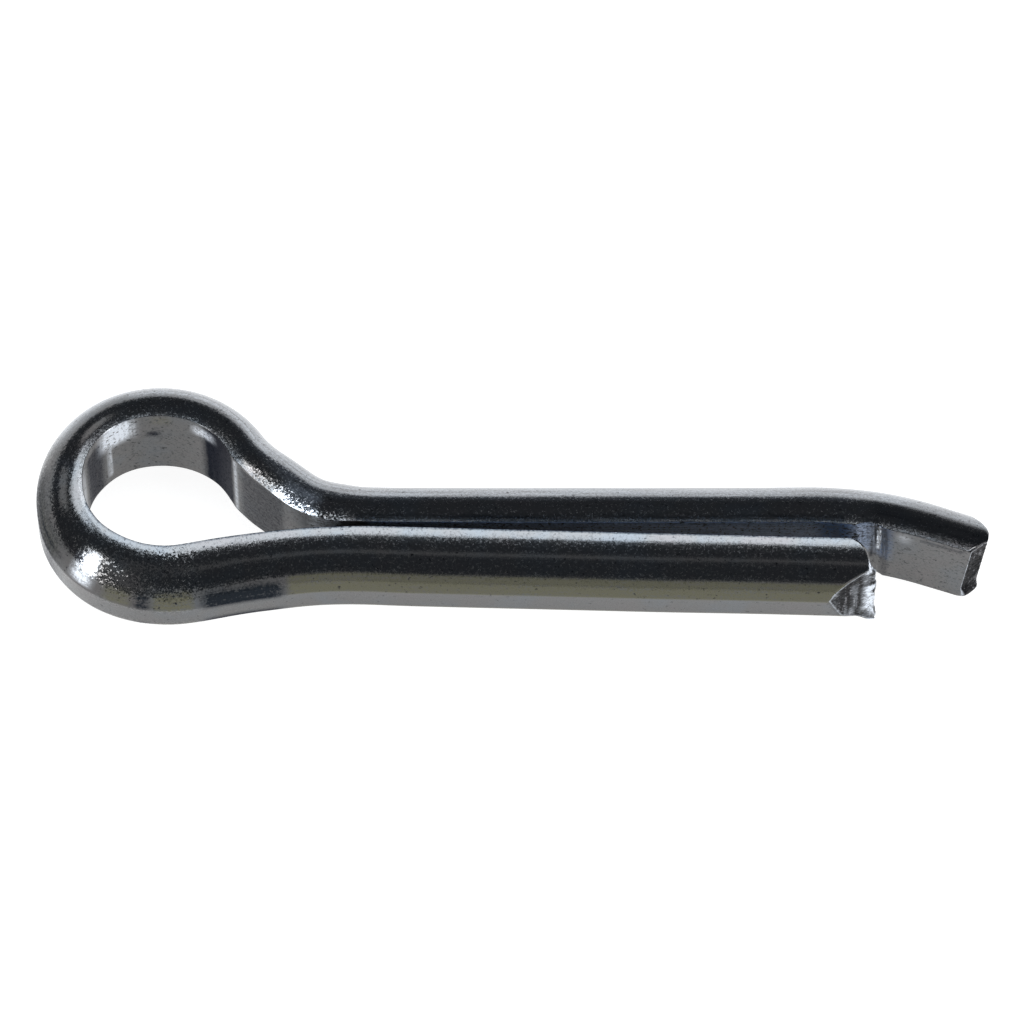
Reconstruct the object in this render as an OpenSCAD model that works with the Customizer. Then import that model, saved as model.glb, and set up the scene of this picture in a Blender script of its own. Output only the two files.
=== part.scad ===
// Split cotter pin: one length of half-round wire folded back on itself.
// Millimetres. The pin lies flat: X runs along the shank towards the free ends, Y crosses the
// two legs and Z is the axis of the eye. X = 0 is the plane where the eye sits against the
// rim of the hole. Y = 0 is midway between the legs there and Z = 0 is the wire's mid-plane.
// The wire is followed along the line of its flat face, from the long leg round the eye to
// the short leg, as a list of straights and bends. Every bend is revolved and every straight
// is extruded from the same section, so all faces are true planes, cylinders, cones and tori.

/* [Wire] */
// Half the width of the flat face, which is also the radius of the round side
wire_r = 3.5; // [3:0.05:4]
// How far the crown of the round side is rolled flat
crown_trim = 0.17; // [0.05:0.01:0.3]
// Size of the broken edge between the flat and the round side
edge_break = 0.12; // [0.05:0.01:0.2]
// Half the width of the flat where bending or pinching has spread the wire
spread_w = 3.91; // [3.7:0.01:4.1]

/* [Eye] */
// Inside radius of the far side of the eye
far_r = 5.61; // [5.2:0.01:6]
// Inside radius of the nose, the end of the eye away from the legs
nose_r = 4.26; // [3.8:0.01:4.6]
// Inside radius of the near side of the eye
near_r = 5.78; // [5.5:0.01:6.1]
// Direction of the wire where the far side becomes the nose, in degrees
far_end = 205; // [198:0.5:212]
// Direction of the wire where the nose becomes the near side, in degrees
nose_end = 322; // [314:0.5:328]

/* [Round side of the eye] */
// How much tighter the round side bends than the flat on the far side, which thins the metal
far_tighter = 0.75; // [0.4:0.01:0.9]
// The same on the near side
near_tighter = 0.36; // [0.1:0.01:0.6]
// Radius added to the round side's bend at the nose
nose_looser = 0.06; // [0:0.01:0.3]
// How much sooner the round side turns from the far side into the nose, in degrees
nose_sooner = 3; // [0:0.5:8]
// How much later the round side turns from the nose into the near side, in degrees
nose_later = 11; // [4:0.5:16]

/* [Neck] */
// X where the flat of the long leg begins to bend into the neck
neck_x = 0.6; // [0:0.05:1.5]
// Radius of the bend from the long leg into the neck, on the flat
neck_r = 6.37; // [5.5:0.01:7.5]
// Angle of that bend, in degrees
neck_turn = 40.2; // [36:0.1:44]
// Angle of the sharp crease between the neck and the eye, in degrees
crease = 21.6; // [14:0.1:26]
// Length by which the round side begins to bend sooner than the flat
back_lead = 1.36; // [0.8:0.02:1.8]
// Radius added to the round side's bend out of the long leg
back_looser = 3.27; // [2:0.05:4]
// Angle of the round side's bend out of the long leg, in degrees
back_turn = 34.8; // [31:0.1:37]
// Radius of the round side's bend behind the crease, on the flat
crease_r = 8; // [6:0.1:9]
// Slope of the near side where it leaves the eye, in degrees
near_slope = 11.2; // [8:0.1:14]
// Straight run of the near side beside the neck
near_run = 1.9; // [1.5:0.05:2.5]
// Radius of the slow bow that brings the near side in line with the legs
bow_r = 50; // [35:0.5:65]

/* [Legs] */
// Gap between the flats where the legs first come together
leg_gap = 0.5; // [0.35:0.01:0.8]
// Angle by which the short leg leans away from the long one, in degrees
splay = 1.6; // [0.8:0.05:2.2]
// X of the end of the short leg
short_end = 34.05; // [28:0.05:38]
// Length by which the tip of the long leg passes the short leg, along X
long_extra = 5.75; // [5:0.05:7]

/* [Short leg's sheared tip] */
// Radius by which the flat rolls over at the tip
roll_r = 2.4; // [2:0.05:2.6]
// Angle of the sheared ramp to the leg, in degrees
ramp_angle = 23; // [18:0.5:30]
// Sideways lean of the ramp, in degrees
ramp_lean = 11; // [0:0.5:16]
// Depth of metal left between the flat and the ramp at the very tip
ramp_depth = 2.3; // [2:0.05:2.7]

/* [Long leg's tip] */
// Distance back from the end of the short leg to where the prong begins to bend
prong_back = 4.35; // [3.5:0.05:5]
// Bend radius of the prong, on the flat
prong_r = 23.8; // [18:0.1:30]
// Angle of the prong, in degrees
prong_turn = 18; // [10:0.5:22]
// Slant of the end face from square, in degrees
end_slant = 13; // [0:0.1:16]
// Lean of the end face, so that its lower corner stands out, in degrees
end_lean = 2; // [0:0.5:6]
// Slope of the rolled-down outer edge of the end, in degrees from the prong
bevel_slope = 24; // [18:0.5:35]
// Depth from the flat at which that bevel begins on the end face
bevel_depth = 2.6; // [2.3:0.05:2.9]

/* [Pinch mark on the long leg] */
// Radius of the pinch groove across the flat
pinch_r = 1.9; // [1.5:0.05:2.4]
// Depth of the pinch groove
pinch_depth = 0.25; // [0.12:0.01:0.35]
// Centre of the pinch groove, measured back along X from the end of the short leg
pinch_back = 0.35; // [0:0.05:0.8]
// Radius of the fine ridges left in the groove
ridge_r = 0.07; // [0.05:0.01:0.1]
// Spacing of those ridges
ridge_pitch = 0.25; // [0.2:0.01:0.3]

/* [Hidden] */
$fn = 96;

crown = wire_r - crown_trim;                 // depth of the crown flat below the flat face
crown_z = sqrt(wire_r * wire_r - crown * crown);  // half width of the crown flat
// The spread section keeps the crown flat and bulges from its edges to the wider flat.
spread_c = (spread_w * spread_w - crown * crown - crown_z * crown_z) / (2 * crown);
spread_r = sqrt(spread_c * spread_c + spread_w * spread_w);
spare = 0.7;        // metal left in front of the flat before it is cut
reach = 2;          // how far in front of the flat the cut clears
big = 60;

// A place on the path is [x, y, direction]. The flat faces left of the direction of travel.
function go(s, d) = [s.x + d * cos(s[2]), s.y + d * sin(s[2]), s[2]];
function turn(s, a) = [s.x, s.y, s[2] + a];
function centre_l(s, r) = [s.x - r * sin(s[2]), s.y + r * cos(s[2])];
function centre_r(s, r) = [s.x + r * sin(s[2]), s.y - r * cos(s[2])];
function bend_l(s, r, a) = let (c = centre_l(s, r), h = s[2] + a)
    [c.x + r * sin(h), c.y - r * cos(h), h];
function bend_r(s, r, a) = let (c = centre_r(s, r), h = s[2] - a)
    [c.x - r * sin(h), c.y + r * cos(h), h];

// The same bend to the left, followed backwards.
function bend_back(s, r, a) = let (c = centre_l(s, r), h = s[2] - a)
    [c.x + r * sin(h), c.y - r * cos(h), h];
// How far a point lies ahead of a place on the path, and how far to the left of it.
function along(s, p) = (p.x - s.x) * cos(s[2]) + (p.y - s.y) * sin(s[2]);
function aside(s, p) = (p.y - s.y) * cos(s[2]) - (p.x - s.x) * sin(s[2]);

// Long leg, read from its own end towards the eye.
leg_start = [neck_x, leg_gap / 2, 180];
neck_in = bend_r(leg_start, neck_r, neck_turn);
// The straight of the neck is as long as it must be for the legs to end leg_gap apart.
function eye_from(k) =
    let (f = bend_l(turn(k, -crease), far_r, far_end - (180 - neck_turn - crease)),
         n = bend_l(f, nose_r, nose_end - far_end),
         b = bend_l(n, near_r, 360 + near_slope - nose_end),
         g = go(b, near_run),
         w = bend_r(g, bow_r, near_slope + splay))
    [f, n, b, g, w];
neck_run = (-leg_gap / 2 - eye_from(neck_in)[4].y) / sin(180 - neck_turn);
crease_at = go(neck_in, neck_run);
eye = eye_from(crease_at);
eye_far = turn(crease_at, -crease);

// The round side has a path of its own, because bending draws the metal thinner on the eye
// and bunches it at the neck. It is found backwards from the near side to the far side.
near_back_r = near_r - near_tighter;
nose_back_r = nose_r + nose_looser;
far_back_r = far_r - far_tighter;
nose_back_end = bend_back(eye[2], near_back_r, 360 + near_slope - nose_end - nose_later);
far_back_end = bend_back(nose_back_end, nose_back_r, nose_end + nose_later - far_end + nose_sooner);
far_back_c = centre_l(far_back_end, far_back_r);

// From the long leg it takes a bend, a straight, and a bend that meets the far side.
back_start = [leg_start.x + back_lead, leg_gap / 2, 180];
back_in = bend_r(back_start, neck_r + back_looser, back_turn);
far_ahead = along(back_in, far_back_c);
far_aside = aside(back_in, far_back_c) + crease_r;
meet = far_back_r + crease_r;
back_run = far_ahead - sqrt(meet * meet - far_aside * far_aside);
crease_turn = acos(far_aside / meet);
back_at = go(back_in, back_run);
eye_at = bend_r(back_at, crease_r, crease_turn);

// Short leg, and the prong at the end of the long one.
short_start = eye[4];
short_len = (short_end - short_start.x) / cos(splay);
short_tip = [short_end, short_start.y - short_len * sin(splay), -splay];
roll_reach = 0.03;                            // how far the rolled edge stands past the end
prong_x = short_end - prong_back;
prong_arc = prong_turn / 2;                   // where the pinched wire begins to spread
prong_flat_end = [prong_x + prong_r * sin(prong_turn),
    leg_gap / 2 - prong_r * (1 - cos(prong_turn)), -prong_turn];
prong_run = (short_end + long_extra - prong_flat_end.x) / cos(prong_turn);
prong_tip = go(prong_flat_end, prong_run);
pinch_x = short_end - pinch_back;
pinch_flat = leg_gap / 2 - prong_r + sqrt(prong_r * prong_r - pow(pinch_x - prong_x, 2));
pinch_c = [pinch_x, pinch_flat - pinch_r + pinch_depth];
ridge_half = wire_r - 0.2;                    // half the length of the ridges

// Neighbouring pieces of the wire run a little way into each other. The one that runs in is
// thinner all round by a hundredth or two, so that no two of their faces lie on each other.
lap = 0.05;
tuck = 0.01;
function lap_angle(r) = lap / r * 180 / PI;

// Where spread wire fades back to plain wire, a taper narrows until it is lost inside it.
fade_r = spread_r - 1.85 * (spread_w - wire_r);
prong_fade = 2;
near_fade = 4;
near_fade_turn = 0.8;

// ---- Sections. The flat is the line x = 0 and the metal is on the side of negative x. ----

// The round side: a circle of radius r centred c in front of the flat, cut at the crown, with
// a little spare metal left in front of the flat.
module blank_section(r, c, t) {
    intersection() {
        translate([c, 0]) circle(r = r - t);
        translate([t - crown, -big / 2]) square([crown - t + spare, big]);
    }
}

// All that lies in front of the flat, flared at 45 degrees so that it breaks both edges.
module flat_cutter_section(w, reach) {
    z1 = w - edge_break;
    polygon([[reach, -w - 1], [-edge_break - 1, -w - 1], [0, -z1], [0, z1],
             [-edge_break - 1, w + 1], [reach, w + 1]]);
}

// The wire as drawn, t thinner all round.
module plain_section(t = 0) {
    difference() {
        blank_section(wire_r, 0, t);
        translate([-t, 0]) flat_cutter_section(wire_r, 2);
    }
}

// The wire where bending or pinching has spread its flat, t thinner all round.
module spread_section(t = 0) {
    difference() {
        blank_section(spread_r, spread_c, t);
        translate([-t, 0]) flat_cutter_section(spread_w, 2);
    }
}

// ---- Moves along the path. Each takes a section drawn as above. ----

module at(s) { translate([s.x, s.y, 0]) rotate([0, 0, s[2]]) children(); }
// a and b are the laps added before the start and after the end.
module straight(d, a = 0, b = 0) {
    translate([-a, 0, 0]) rotate([90, 0, 90]) linear_extrude(d + a + b) children();
}
module left_bend(r, turn, a = 0, b = 0) {
    first = a > 0 ? lap_angle(r) : 0;
    last = b > 0 ? lap_angle(r) : 0;
    translate([0, r, 0]) rotate([0, 0, -90 - first]) rotate_extrude(angle = turn + first + last)
        translate([r, 0]) mirror([1, 0]) children();
}
module right_bend(r, turn, a = 0, b = 0) {
    first = a > 0 ? lap_angle(r) : 0;
    last = b > 0 ? lap_angle(r) : 0;
    translate([0, -r, 0]) rotate([0, 0, 90 - turn - last])
        rotate_extrude(angle = turn + first + last) translate([r, 0]) children();
}

// A short taper, running along +X, that lets spread wire fade into plain wire. ahead is the
// metal left in front of the flat.
module fade_blank(d, ahead) {
    t = 4 * tuck;
    intersection() {
        translate([-lap, spread_c, 0]) rotate([0, 90, 0])
            cylinder(h = d + lap, r1 = spread_r - t, r2 = fade_r);
        translate([-lap, t - crown, -big / 2]) cube([d + lap, crown - 2 * t + ahead, big]);
    }
}

// The slanted breaks along the edges of such a taper.
module fade_breaks(d, t = 0) {
    slope = atan((spread_w - sqrt(fade_r * fade_r - spread_c * spread_c)) / d);
    for (m = [0, 1]) mirror([0, 0, m])
        translate([0, -t, spread_w - edge_break - t]) rotate([0, slope, 0])
            rotate([-45, 0, 0]) translate([-reach, -reach, 0]) cube([d + 2 * reach, 2 * reach, reach]);
}

module fade(d) {
    difference() {
        fade_blank(d, 0);
        fade_breaks(d, 4 * tuck);
    }
}

// A block that fills all of positive x, to be turned and moved as a cutting plane.
module ahead() { translate([0, -big / 2, -big / 2]) cube(big); }

// ---- Long leg ----

module long_leg() {
    at([prong_x, leg_gap / 2, 180])
        straight(prong_x - back_start.x, lap, lap) plain_section(2 * tuck);
}

// The prong is read from its tip back to the straight leg, so its flat is on the left.
module prong() {
    bend_in = [prong_flat_end.x, prong_flat_end.y, 180 - prong_turn];
    mid = bend_l(bend_in, prong_r, prong_arc);
    tip = [prong_tip.x, prong_tip.y, -prong_turn];
    difference() {
        union() {
            difference() {
                union() {
                    at(go(bend_in, -prong_run - reach))
                        straight(prong_run + reach, 0, lap) spread_section(tuck);
                    at(bend_in) left_bend(prong_r, prong_arc) spread_section();
                    at(mid) left_bend(prong_r, prong_turn - prong_arc, lap) plain_section(tuck);
                    at(mid) fade(prong_fade);
                }
                // pinch groove
                translate([pinch_c.x, pinch_c.y, -big / 2]) cylinder(r = pinch_r, h = big);
            }
            // ridges on the floor of the groove
            for (i = [1 : 3]) let (d = i * ridge_pitch)
                translate([pinch_c.x + d, pinch_c.y + sqrt(pinch_r * pinch_r - d * d), -ridge_half])
                    cylinder(r = ridge_r, h = 2 * ridge_half);
        }
        // end face, then its rolled-down outer edge
        at(tip) rotate([0, -end_lean, -end_slant]) ahead();
        at(tip) translate([bevel_depth * tan(end_slant), bevel_depth, 0])
            rotate([0, 0, 90 - bevel_slope]) ahead();
    }
}

// ---- Neck: the bend out of the long leg, the straight, and the crease ----

// The wire before its flat is cut, along the round side's own path.
module neck_blank() {
    at(back_start) right_bend(neck_r + back_looser, back_turn) blank_section(wire_r, 0, 0);
    at(back_in) straight(back_run, lap, lap) blank_section(wire_r, 0, tuck);
    at([back_at.x, back_at.y, back_at[2] + 180]) mirror([0, 1, 0]) fade_blank(back_run, spare);
    at(back_at) right_bend(crease_r, crease_turn) blank_section(spread_r, spread_c, 0);
}

// The flat is cut along the neck and along the eye, and the two cuts meet in the crease.
module neck() {
    difference() {
        neck_blank();
        at(back_start) straight(back_lead, 1, lap) flat_cutter_section(wire_r, reach);
        at(leg_start) right_bend(neck_r, neck_turn) flat_cutter_section(wire_r, reach);
        at(neck_in) straight(neck_run + reach, lap)
            flat_cutter_section(spread_w - 2 * tuck, reach);
        at(bend_back(eye_far, far_r, 20)) left_bend(far_r, eye_at[2] - eye_far[2] + 30)
            flat_cutter_section(spread_w, reach);
    }
}

// ---- Eye ----

module eye_ring() {
    difference() {
        union() {
            at(eye_at) left_bend(far_back_r, far_back_end[2] - eye_at[2], lap, lap)
                blank_section(spread_r, spread_c, tuck);
            at(far_back_end) left_bend(nose_back_r, nose_back_end[2] - far_back_end[2])
                blank_section(spread_r, spread_c, 0);
            at(nose_back_end) left_bend(near_back_r, eye[2][2] - nose_back_end[2], lap)
                blank_section(spread_r, spread_c, tuck);
        }
        at(bend_back(eye_far, far_r, 5)) left_bend(far_r, far_end - eye_far[2] + 5, 0, lap)
            translate([-tuck, 0]) flat_cutter_section(spread_w, reach);
        at(eye[0]) left_bend(nose_r, nose_end - far_end)
            flat_cutter_section(spread_w, reach);
        at(eye[1]) left_bend(near_r, eye[2][2] - nose_end + 3, lap)
            translate([-tuck, 0]) flat_cutter_section(spread_w, reach);
    }
}

// ---- Short leg ----

module short_leg() {
    at(eye[2]) straight(near_run, lap, lap) plain_section(2 * tuck);
    at(eye[2]) rotate([0, 0, -near_fade_turn]) fade(near_fade);
    at(eye[3]) right_bend(bow_r, near_slope + splay) plain_section();
    difference() {
        at(short_start) straight(short_len, lap) plain_section(tuck);
        // rolled-over flat
        at(short_tip) translate([roll_reach - roll_r, -roll_r * 0.94, -big / 2]) difference() {
            cube([2 * roll_r, 2 * roll_r, big]);
            cylinder(r = roll_r, h = 2 * big, center = true);
        }
        // sheared ramp on the round side
        at(short_tip) translate([0, -ramp_depth, 0]) rotate([0, 0, ramp_angle])
            rotate([-ramp_lean, 0, 0]) rotate([0, 0, -90]) ahead();
    }
}

module cotter_pin() {
    color("Silver") union() {
        long_leg();
        prong();
        neck();
        eye_ring();
        short_leg();
    }
}

cotter_pin();
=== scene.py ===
"""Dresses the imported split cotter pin: one length of half-round wire, folded and zinc plated."""

import logging
import math
from dataclasses import dataclass, field
from enum import Enum, IntEnum
from typing import Dict, List, Optional, Sequence, Tuple

import bpy
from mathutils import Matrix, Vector, noise


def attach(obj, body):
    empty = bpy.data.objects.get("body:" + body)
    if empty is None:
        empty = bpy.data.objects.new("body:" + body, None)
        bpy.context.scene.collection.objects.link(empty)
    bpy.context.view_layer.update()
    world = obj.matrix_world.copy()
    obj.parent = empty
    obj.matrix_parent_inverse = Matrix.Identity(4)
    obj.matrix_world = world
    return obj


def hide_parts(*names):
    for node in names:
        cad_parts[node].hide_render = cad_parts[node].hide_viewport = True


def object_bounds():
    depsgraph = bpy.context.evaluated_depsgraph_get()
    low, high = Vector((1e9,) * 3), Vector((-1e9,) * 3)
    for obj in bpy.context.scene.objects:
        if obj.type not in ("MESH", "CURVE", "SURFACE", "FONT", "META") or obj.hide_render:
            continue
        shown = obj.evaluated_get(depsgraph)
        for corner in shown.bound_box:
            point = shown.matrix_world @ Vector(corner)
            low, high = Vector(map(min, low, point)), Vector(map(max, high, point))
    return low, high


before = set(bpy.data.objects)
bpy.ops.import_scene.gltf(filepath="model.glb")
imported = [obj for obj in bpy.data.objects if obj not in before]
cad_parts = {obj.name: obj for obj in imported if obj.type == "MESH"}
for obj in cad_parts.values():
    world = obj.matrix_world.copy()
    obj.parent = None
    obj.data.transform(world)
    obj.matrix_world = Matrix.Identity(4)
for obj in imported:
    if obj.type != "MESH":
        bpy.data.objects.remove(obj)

LOG = logging.getLogger("cotter_pin")
MM = 0.001
CAD_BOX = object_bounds()

Point2 = Tuple[float, float]
Fade = Tuple[float, float]  # where something starts to show, and where it shows in full
Fades = Tuple[Fade, ...]
Colour = Tuple[float, float, float, float]
Thing = bpy.types.Object
Material = bpy.types.Material
Tree = bpy.types.NodeTree
Node = bpy.types.Node
Socket = bpy.types.NodeSocket


class Side(Enum):
    """Which way a bend turns the wire as it is followed from the long leg's tip."""

    LEFT = 1
    RIGHT = -1


class Face(Enum):
    """The two faces of half-round wire."""

    FLAT = 0
    ROUND = 1


class Tone(Enum):
    """How the plate differs from place to place: dull, roughened and torn metal, and painted shade, painted
    highlights and painted olive and blue reflections.
    """

    CUT = "cut"
    DULL = "dull"
    BLUE = "blue"
    PEEL = "peel"
    OLIVE_REFLECTION = "olive_reflection"
    STAIN = "stain"
    SHINE = "shine"


def smooth(low: float, high: float, value: float) -> float:
    """Fades from 0 below low to 1 above high, level at both ends."""
    t = min(1.0, max(0.0, (value - low) / (high - low)))
    return t * t * (3.0 - 2.0 * t)


def faded(fades: Fades, *values: float) -> float:
    """Multiplies the fades of several values, one fade for each."""
    return math.prod(smooth(*fade, value) for fade, value in zip(fades, values))


def soft_min(a: float, b: float, blend: float) -> float:
    """The lesser of two heights, with the corner between them rounded over blend."""
    h = min(1.0, max(0.0, 0.5 + 0.5 * (b - a) / blend))
    return b + (a - b) * h - blend * h * (1.0 - h)


@dataclass(frozen=True)
class Lumps:
    """Random lumps on a cut face: their height and size, and which layer of the noise they come from."""

    height: float
    size: float
    layer: float

    def at(self, x: float, y: float) -> float:
        """How far the face stands out at a place."""
        place = Vector((x, y, self.layer)) / self.size
        falloff, spacing, octaves = 0.9, 2.0, 4
        return self.height * noise.fractal(place, falloff, spacing, octaves, noise_basis="PERLIN_ORIGINAL")


# ---- The path that the wire follows, in millimetres and degrees ----


@dataclass(frozen=True)
class Place:
    """A point on the path, and the direction of travel there."""

    x: float
    y: float
    heading: float

    @property
    def cos(self) -> float:
        """The cosine of the heading."""
        return math.cos(math.radians(self.heading))

    @property
    def sin(self) -> float:
        """The sine of the heading."""
        return math.sin(math.radians(self.heading))

    def ahead(self, distance: float) -> "Place":
        """The place reached by going straight on."""
        return Place(self.x + distance * self.cos, self.y + distance * self.sin, self.heading)

    def turned(self, angle: float) -> "Place":
        """The same point, facing another way."""
        return Place(self.x, self.y, self.heading + angle)

    def beside(self, distance: float) -> Point2:
        """The point that lies a distance to the left of this place."""
        return (self.x - distance * self.sin, self.y + distance * self.cos)

    def along(self, point: Point2) -> float:
        """How far a point lies ahead of this place."""
        return (point[0] - self.x) * self.cos + (point[1] - self.y) * self.sin

    def aside(self, point: Point2) -> float:
        """How far a point lies to the left of this place."""
        return (point[1] - self.y) * self.cos - (point[0] - self.x) * self.sin


@dataclass(frozen=True)
class Run:
    """One straight or one bend of the path. A straight has no radius."""

    start: Place
    length: float
    radius: float = 0.0
    side: Side = Side.LEFT

    @classmethod
    def bend(cls, start: Place, radius: float, turn: float, side: Side) -> "Run":
        """A bend through turn degrees."""
        return cls(start, radius * math.radians(turn), radius, side)

    def at(self, distance: float) -> Place:
        """The place reached after a distance along this run."""
        if not self.radius:
            return self.start.ahead(distance)
        signed = self.radius * self.side.value
        centre = self.start.beside(signed)
        heading = self.start.heading + math.degrees(distance / signed)
        back = Place(centre[0], centre[1], heading).beside(-signed)
        return Place(back[0], back[1], heading)

    def end(self) -> Place:
        """The place where this run ends."""
        return self.at(self.length)

    def gap_from(self, place: Place, reach: float) -> Optional[float]:
        """Measures how far to the left of a place this run passes.

        Args:
            place: where the measurement starts.
            reach: the furthest that the run may be.

        Returns:
            The distance, negative to the right, or None where this run doesn't pass.
        """
        if not self.radius:
            turn = math.radians(self.start.heading - place.heading)
            corner = (self.start.x, self.start.y)
            gap = place.aside(corner) - place.along(corner) * math.tan(turn)
            met = self.start.along(place.beside(gap))
        else:
            centre = self.start.beside(self.radius * self.side.value)
            across, ahead = place.aside(centre), place.along(centre)
            inside = self.radius ** 2 - ahead ** 2
            if inside < 0.0:
                return None
            gap = min((across - math.sqrt(inside), across + math.sqrt(inside)), key=abs)
            hit = place.beside(gap)
            spoke = math.degrees(math.atan2(hit[1] - centre[1], hit[0] - centre[0]))
            passed = (spoke + 90.0 * self.side.value - self.start.heading) * self.side.value
            met = math.radians((passed + 180.0) % 360.0 - 180.0) * self.radius
        slack = 0.02
        return gap if abs(gap) < reach and -slack < met < self.length + slack else None


@dataclass(frozen=True)
class Route:
    """A chain of runs, measured from its start."""

    runs: Tuple[Run, ...]

    @property
    def length(self) -> float:
        """The whole length of the route."""
        return sum(run.length for run in self.runs)

    def at(self, distance: float) -> Place:
        """The place at a distance along the route; the first and last runs go on past its ends."""
        for run in self.runs[:-1]:
            if distance <= run.length:
                return run.at(distance)
            distance -= run.length
        return self.runs[-1].at(distance)

    def joint(self, index: int) -> float:
        """The distance at which the run with this index begins."""
        return sum(run.length for run in self.runs[:index])

    def gap_from(self, place: Place, reach: float = 1.2) -> float:
        """How far to the left of a place the route passes, taken to the nearest pass."""
        gaps = [run.gap_from(place, reach) for run in self.runs]
        return min((gap for gap in gaps if gap is not None), key=abs, default=0.0)


class FlatRun(IntEnum):
    """The runs of the flat route that are asked for by name, with their places in it."""

    FAR = 5
    NEAR = 7


class BackRun(IntEnum):
    """The runs of the back route that are asked for by name, with their places in it."""

    BEND = 1
    LEG = 2
    NECK = 3
    NECK_RUN = 4
    CREASE = 5
    NEAR = 8
    BOW = 10


@dataclass(frozen=True)
class PinPath:
    """The driving sizes of the fold, the same as the solid's, and the two routes they give.

    The flat route follows the flat face, and the back route carries the round side, because
    bending draws the metal thinner round the eye and bunches it in the neck.
    """

    far_r: float = 5.61
    nose_r: float = 4.26
    near_r: float = 5.78
    far_end: float = 205.0
    nose_end: float = 322.0
    far_tighter: float = 0.75
    near_tighter: float = 0.36
    nose_looser: float = 0.06
    nose_sooner: float = 3.0
    nose_later: float = 11.0
    neck_x: float = 0.6
    neck_r: float = 6.37
    neck_turn: float = 40.2
    crease: float = 21.6
    back_lead: float = 1.36
    back_looser: float = 3.27
    back_turn: float = 34.8
    crease_r: float = 8.0
    near_slope: float = 11.2
    near_run: float = 1.9
    bow_r: float = 50.0
    leg_gap: float = 0.5
    splay: float = 1.6
    short_end: float = 34.05
    long_extra: float = 5.75
    prong_back: float = 4.35
    prong_r: float = 23.8
    prong_turn: float = 18.0

    def prong(self) -> List[Run]:
        """The prong and its bend, from the tip to the straight leg."""
        bend_at = Place(self.short_end - self.prong_back, self.leg_gap / 2, 0.0)
        bend_in = Run.bend(bend_at, self.prong_r, self.prong_turn, Side.RIGHT).end()
        run = (self.short_end + self.long_extra - bend_in.x) / math.cos(math.radians(self.prong_turn))
        tip = bend_in.ahead(run).turned(180.0)
        straight = Run(tip, run)
        return [straight, Run.bend(straight.end(), self.prong_r, self.prong_turn, Side.LEFT)]

    def eye_flat(self, crease_at: Place) -> List[Run]:
        """The flat from the crease round the eye and back into line with the legs."""
        runs = [Run.bend(crease_at.turned(-self.crease), self.far_r,
                         self.far_end - (180.0 - self.neck_turn - self.crease), Side.LEFT)]
        runs.append(Run.bend(runs[-1].end(), self.nose_r, self.nose_end - self.far_end, Side.LEFT))
        runs.append(Run.bend(runs[-1].end(), self.near_r, 360.0 + self.near_slope - self.nose_end, Side.LEFT))
        return runs + self.near_side(runs[-1].end())

    def near_side(self, start: Place) -> List[Run]:
        """The straight beside the neck and the slow bow into the short leg."""
        straight = Run(start, self.near_run)
        return [straight, Run.bend(straight.end(), self.bow_r, self.near_slope + self.splay, Side.RIGHT)]

    def short_leg(self, start: Place) -> Run:
        """The straight of the short leg."""
        return Run(start, (self.short_end - start.x) / math.cos(math.radians(self.splay)))

    def flat_route(self) -> Route:
        """The route of the flat face from the prong's tip to the short tip."""
        prong = self.prong()
        leg = Run(prong[-1].end(), prong[-1].end().x - self.neck_x)
        neck = Run.bend(leg.end(), self.neck_r, self.neck_turn, Side.RIGHT)
        closing = self.eye_flat(neck.end())[-1].end().y + self.leg_gap / 2
        neck_run = Run(neck.end(), -closing / math.sin(math.radians(180.0 - self.neck_turn)))
        eye = self.eye_flat(neck_run.end())
        return Route(tuple(prong + [leg, neck, neck_run] + eye + [self.short_leg(eye[-1].end())]))

    def back_route(self, flat: Route) -> Route:
        """The route that carries the round side, found backwards round the eye."""
        near_end = flat.runs[FlatRun.NEAR].end()
        near_r, nose_r = self.near_r - self.near_tighter, self.nose_r + self.nose_looser
        far_r = self.far_r - self.far_tighter
        near_turn = 360.0 + self.near_slope - self.nose_end - self.nose_later
        nose_turn = self.nose_end + self.nose_later - self.far_end + self.nose_sooner
        near_in = Run(near_end, -near_r * math.radians(near_turn), near_r).end()
        nose_in = Run(near_in, -nose_r * math.radians(nose_turn), nose_r).end()
        far_centre = nose_in.beside(far_r)
        prong = self.prong()
        leg = Run(prong[-1].end(), prong[-1].end().x - self.neck_x - self.back_lead)
        neck = Run.bend(leg.end(), self.neck_r + self.back_looser, self.back_turn, Side.RIGHT)
        meet = far_r + self.crease_r
        aside = neck.end().aside(far_centre) + self.crease_r
        straight = Run(neck.end(), neck.end().along(far_centre) - math.sqrt(meet ** 2 - aside ** 2))
        crease = Run.bend(straight.end(), self.crease_r, math.degrees(math.acos(aside / meet)), Side.RIGHT)
        far_side = Run.bend(crease.end(), far_r, nose_in.heading - crease.end().heading, Side.LEFT)
        nose = Run.bend(nose_in, nose_r, nose_turn, Side.LEFT)
        near = Run.bend(near_in, near_r, near_turn, Side.LEFT)
        tail = self.near_side(near_end)
        return Route(tuple(prong + [leg, neck, straight, crease, far_side, nose, near] + tail
                           + [self.short_leg(tail[-1].end())]))


# ---- The two cut ends ----


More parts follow.
